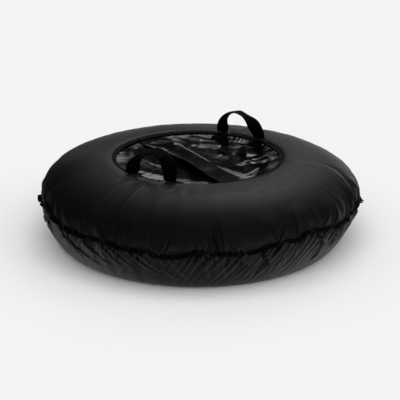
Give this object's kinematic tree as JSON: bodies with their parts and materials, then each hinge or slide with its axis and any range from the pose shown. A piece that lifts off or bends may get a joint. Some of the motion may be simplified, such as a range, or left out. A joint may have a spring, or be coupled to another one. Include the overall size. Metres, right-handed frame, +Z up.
{
  "type": "snow tube",
  "caption": "Round inflated snow tube in a sewn cover: gathered side seam, lap-over seat slit, webbing handles and a valved inner tube.",
  "frame": {"origin": "on the ground under the middle of the ring, at the bottom centre of the bounding box", "axes": "+Z up, +X towards the right handle, -X towards the left handle, +Y towards the valve's side of the inner tube"},
  "size_m": [1.0066, 1.0066, 0.326],
  "materials": {
    "cover_fabric": "matte black coated oxford weave",
    "coated_base": "glossy black PVC-coated sheet, gathered",
    "coated_seat": "glossy black PVC sheet, creased",
    "edge_tape": "matte black woven tape",
    "hem_tape": "thin black woven tape",
    "webbing": "black flat webbing",
    "tube_rubber": "dull black butyl rubber",
    "valve_rubber": "moulded black rubber",
    "valve_brass": "turned brass",
    "valve_steel": "bright steel",
    "cap_plastic": "black moulded plastic"
  },
  "bodies": {
    "root": {"top_cover_back": "cover_fabric", "top_cover_front": "cover_fabric", "bottom_cover": "coated_base", "perimeter_binding": "edge_tape", "ring_band": "edge_tape", "seat_flap": "coated_seat", "seat_panel": "coated_seat", "flap_hem_tape": "hem_tape", "panel_hem_tape": "hem_tape", "left_handle_front_tail": "webbing", "left_handle_back_tail": "webbing", "right_handle_front_tail": "webbing", "right_handle_back_tail": "webbing", "inner_tube": "tube_rubber", "valve_base": "valve_rubber", "valve_stem": "valve_rubber", "valve_insert": "valve_brass", "valve_core_body": "valve_brass", "valve_core_spring": "valve_steel"},
    "left_handle": {"left_handle": "webbing"},
    "right_handle": {"right_handle": "webbing"},
    "core_pin": {"valve_core_pin": "valve_steel"},
    "cap_seal": {"valve_cap_seal": "valve_rubber"},
    "cap": {"valve_cap": "cap_plastic"}
  },
  "joints": [
    {"name": "left_handle_fold", "type": "hinge", "parent": "root", "child": "left_handle", "pos_m": [-0.25116, 0.00526, 0.241], "axis": [0.0209, 0.9998, 0], "range_deg": [-85, 50], "stiffness_Nm_per_rad": 0.2},
    {"name": "right_handle_fold", "type": "hinge", "parent": "root", "child": "right_handle", "pos_m": [0.25034, -0.02102, 0.241], "axis": [-0.0837, -0.9965, 0], "range_deg": [-78, 56], "stiffness_Nm_per_rad": 0.2},
    {"name": "core_pin_press", "type": "slide", "parent": "root", "child": "core_pin", "axis": [0, 1, 0], "range_m": [0, 0.0012], "stiffness_N_per_m": 200, "deforming": ["valve_core_spring"]},
    {"name": "cap_lift", "type": "slide", "parent": "root", "child": "cap_seal", "axis": [0, -1, 0], "range_m": [0, 0.00397]},
    {"name": "cap_turn", "type": "hinge", "parent": "cap_seal", "child": "cap", "pos_m": [0, 0.065, 0.132], "axis": [0, -1, 0], "range_deg": [0, 1800]}
  ],
  "couplings": [
    {"joint": "cap_turn", "follows": "cap_lift", "rad_per_m": 7913.3}
  ]
}
